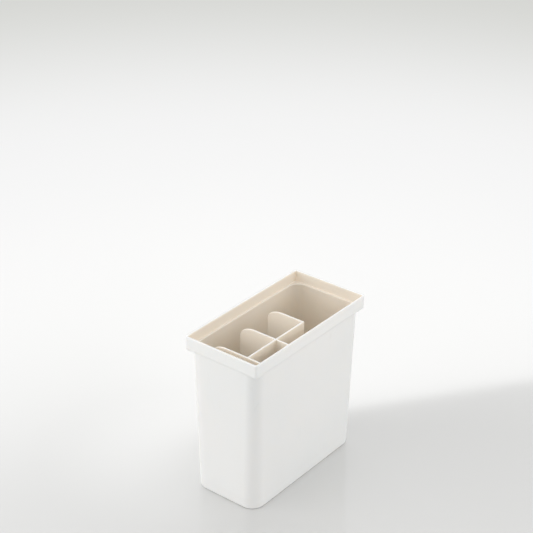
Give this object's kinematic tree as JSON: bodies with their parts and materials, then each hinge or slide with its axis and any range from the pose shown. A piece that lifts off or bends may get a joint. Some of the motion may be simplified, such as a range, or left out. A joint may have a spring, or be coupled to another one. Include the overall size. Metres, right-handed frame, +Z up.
{
  "type": "utensil holder",
  "caption": "Tall rectangular white plastic utensil holder with a stepped collar and a lift-out partition that divides one end into narrow and wide compartments.",
  "frame": {"origin": "on the ground under the middle of the bin", "axes": "+X along the long side, from the end that holds the partition towards the open end; +Y along the short side, away from the wall with the narrow channel; +Z up"},
  "size_m": [0.1624, 0.0816, 0.161],
  "materials": {
    "bin_plastic": "satin moulded white polypropylene",
    "partition_plastic": "satin moulded white polypropylene"
  },
  "bodies": {
    "bin": {"outer_bin": "bin_plastic"},
    "partition": {"partition_insert": "partition_plastic"}
  },
  "joints": [
    {"name": "partition_lift", "type": "slide", "parent": "bin", "child": "partition", "axis": [0, 0, 1], "range_m": [0, 0.165]}
  ]
}
